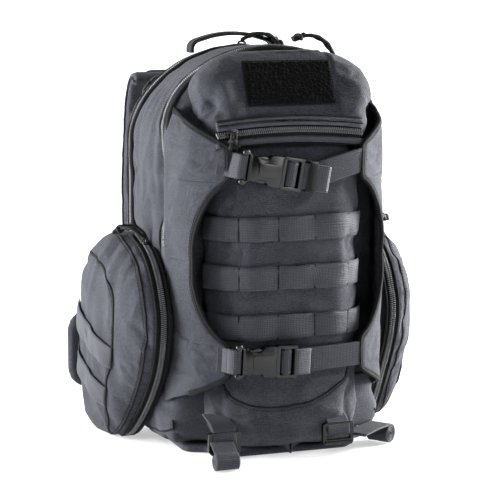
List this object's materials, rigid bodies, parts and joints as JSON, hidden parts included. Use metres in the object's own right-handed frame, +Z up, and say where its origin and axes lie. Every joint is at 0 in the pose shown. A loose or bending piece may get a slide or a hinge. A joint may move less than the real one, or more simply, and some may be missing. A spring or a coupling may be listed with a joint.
{
  "type": "trauma backpack",
  "caption": "Grey tactical trauma backpack: zipped compartments, webbing-faced front pouch under buckled side wings, domed side pouches, shoulder straps and hip belt.",
  "frame": {"origin": "middle of the underside of the base panel", "axes": "+Z up, the front with its buckled wings faces -Y, the shoulder straps are on +Y, and +X is to the right as seen from the front"},
  "size_m": [0.368, 0.3048, 0.4303],
  "materials": {
    "cordura": "matte coarse nylon weave",
    "webbing": "ribbed nylon webbing",
    "loop_pile": "fuzzy loop pile",
    "buckle_plastic": "satin moulded acetal",
    "zip_tape": "black coil zip and tape",
    "slider_metal": "black painted die casting",
    "cord": "braided cord",
    "back_mesh": "spacer mesh over foam",
    "frame_plastic": "stiffener sheet"
  },
  "bodies": {
    "pack": {"main_compartment": "cordura", "rear_compartment": "cordura", "front_compartment": "cordura", "base_panel": "cordura", "frame_sheet": "frame_plastic", "back_pad": "back_mesh", "front_pouch": "cordura", "admin_pocket": "cordura", "loop_patch": "loop_pile", "molle_row_1": "webbing", "molle_row_2": "webbing", "molle_row_3": "webbing", "left_side_pouch": "cordura", "right_side_pouch": "cordura", "left_pouch_zip_track": "zip_tape", "right_pouch_zip_track": "zip_tape", "left_pouch_band_upper": "webbing", "left_pouch_band_lower": "webbing", "right_pouch_band_upper": "webbing", "right_pouch_band_lower": "webbing", "left_wing": "cordura", "right_wing": "cordura", "upper_buckle_socket": "buckle_plastic", "lower_buckle_socket": "buckle_plastic", "upper_socket_strap": "webbing", "lower_socket_strap": "webbing", "upper_plug_strap": "webbing", "lower_plug_strap": "webbing", "rear_zip_track": "zip_tape", "main_zip_track": "zip_tape", "admin_zip_track": "zip_tape", "left_strap_webbing": "webbing", "right_strap_webbing": "webbing", "left_lash_ladderlock": "buckle_plastic", "right_lash_ladderlock": "buckle_plastic"},
    "upper_plug": {"upper_buckle_plug": "buckle_plastic"},
    "lower_plug": {"lower_buckle_plug": "buckle_plastic"},
    "handle": {"carry_handle": "webbing"},
    "rear_left_slider_body": {"rear_left_slider": "slider_metal"},
    "rear_left_pull_body": {"rear_left_pull": "cord"},
    "rear_right_slider_body": {"rear_right_slider": "slider_metal"},
    "rear_right_pull_body": {"rear_right_pull": "cord"},
    "main_slider_body": {"main_slider": "slider_metal"},
    "main_pull_body": {"main_pull": "cord"},
    "admin_slider_body": {"admin_slider": "slider_metal"},
    "admin_pull_body": {"admin_pull": "cord"},
    "left_pouch_slider_body": {"left_pouch_slider": "slider_metal"},
    "left_pouch_pull_body": {"left_pouch_pull": "cord"},
    "right_pouch_slider_body": {"right_pouch_slider": "slider_metal"},
    "right_pouch_pull_body": {"right_pouch_pull": "cord"},
    "left_shoulder": {"left_shoulder_strap": "cordura", "left_strap_ladderlock": "buckle_plastic"},
    "right_shoulder": {"right_shoulder_strap": "cordura", "right_strap_ladderlock": "buckle_plastic"},
    "left_hip": {"left_hip_wing": "cordura", "hip_buckle_socket": "buckle_plastic"},
    "right_hip": {"right_hip_wing": "cordura", "hip_buckle_plug": "buckle_plastic"},
    "left_lash": {"left_lash_strap": "webbing"},
    "right_lash": {"right_lash_strap": "webbing"}
  },
  "joints": [
    {"name": "upper_buckle_release", "type": "slide", "parent": "pack", "child": "upper_plug", "axis": [0.9848, 0, -0.1736], "range_m": [0, 0.028], "deforming": ["upper_plug_strap"]},
    {"name": "lower_buckle_release", "type": "slide", "parent": "pack", "child": "lower_plug", "axis": [0.9986, 0, -0.0523], "range_m": [0, 0.028], "deforming": ["lower_plug_strap"]},
    {"name": "handle_fold", "type": "hinge", "parent": "pack", "child": "handle", "pos_m": [0, 0.088, 0.4075], "axis": [1, 0, 0], "range_deg": [-80, 0]},
    {"name": "rear_left_slider_run", "type": "hinge", "parent": "pack", "child": "rear_left_slider_body", "pos_m": [0, 0.068, 0.2835], "axis": [0, 1, 0], "range_deg": [-48, 0]},
    {"name": "rear_left_pull_swing", "type": "hinge", "parent": "rear_left_slider_body", "child": "rear_left_pull_body", "pos_m": [0.0072, 0.068, 0.42081], "axis": [0, 1, 0], "range_deg": [-110, 0]},
    {"name": "rear_right_slider_run", "type": "hinge", "parent": "pack", "child": "rear_right_slider_body", "pos_m": [0, 0.068, 0.2835], "axis": [0, 1, 0], "range_deg": [0, 24]},
    {"name": "rear_right_pull_swing", "type": "hinge", "parent": "rear_right_slider_body", "child": "rear_right_pull_body", "pos_m": [0.05593, 0.068, 0.40911], "axis": [0, 1, 0], "range_deg": [-110, 0]},
    {"name": "main_slider_run", "type": "hinge", "parent": "pack", "child": "main_slider_body", "pos_m": [0, -0.038, 0.27472], "axis": [0, 1, 0], "range_deg": [-62, 8]},
    {"name": "main_pull_swing", "type": "hinge", "parent": "main_slider_body", "child": "main_pull_body", "pos_m": [0.07102, -0.038, 0.40829], "axis": [0, 1, 0], "range_deg": [0, 110]},
    {"name": "admin_slider_run", "type": "slide", "parent": "pack", "child": "admin_slider_body", "axis": [1, 0, 0], "range_m": [0, 0.136]},
    {"name": "admin_pull_swing", "type": "hinge", "parent": "admin_slider_body", "child": "admin_pull_body", "pos_m": [-0.068, -0.119, 0.336], "axis": [1, 0, 0], "range_deg": [-120, 0]},
    {"name": "left_pouch_slider_run", "type": "hinge", "parent": "pack", "child": "left_pouch_slider_body", "pos_m": [-0.127, 0.0145, 0.1292], "axis": [1, 0, 0], "range_deg": [0, 60]},
    {"name": "left_pouch_pull_swing", "type": "hinge", "parent": "left_pouch_slider_body", "child": "left_pouch_pull_body", "pos_m": [-0.127, -0.00846, 0.22128], "axis": [0.5968, 0.7785, 0.1941], "range_deg": [0, 75]},
    {"name": "right_pouch_slider_run", "type": "hinge", "parent": "pack", "child": "right_pouch_slider_body", "pos_m": [0.127, 0.0145, 0.1292], "axis": [1, 0, 0], "range_deg": [0, 60]},
    {"name": "right_pouch_pull_swing", "type": "hinge", "parent": "right_pouch_slider_body", "child": "right_pouch_pull_body", "pos_m": [0.127, -0.00846, 0.22128], "axis": [0.5968, -0.7785, -0.1941], "range_deg": [0, 75]},
    {"name": "left_shoulder_swing", "type": "hinge", "parent": "pack", "child": "left_shoulder", "pos_m": [-0.07, 0.1118, 0.372], "axis": [1, 0, 0], "range_deg": [0, 50], "deforming": ["left_strap_webbing"]},
    {"name": "right_shoulder_swing", "type": "hinge", "parent": "pack", "child": "right_shoulder", "pos_m": [0.07, 0.1118, 0.372], "axis": [1, 0, 0], "range_deg": [0, 50], "deforming": ["right_strap_webbing"]},
    {"name": "left_hip_fold", "type": "hinge", "parent": "pack", "child": "left_hip", "pos_m": [-0.11, 0.0983, 0.0855], "axis": [0, 0, 1], "range_deg": [-90, 0]},
    {"name": "right_hip_fold", "type": "hinge", "parent": "pack", "child": "right_hip", "pos_m": [0.11, 0.0983, 0.0855], "axis": [0, 0, 1], "range_deg": [0, 90]},
    {"name": "left_lash_swing", "type": "hinge", "parent": "pack", "child": "left_lash", "pos_m": [-0.082, -0.1195, 0.0249], "axis": [1, 0, 0], "range_deg": [-80, 0]},
    {"name": "right_lash_swing", "type": "hinge", "parent": "pack", "child": "right_lash", "pos_m": [0.0655, -0.116, 0.018], "axis": [0, 0, 1], "range_deg": [-60, 0]}
  ]
}
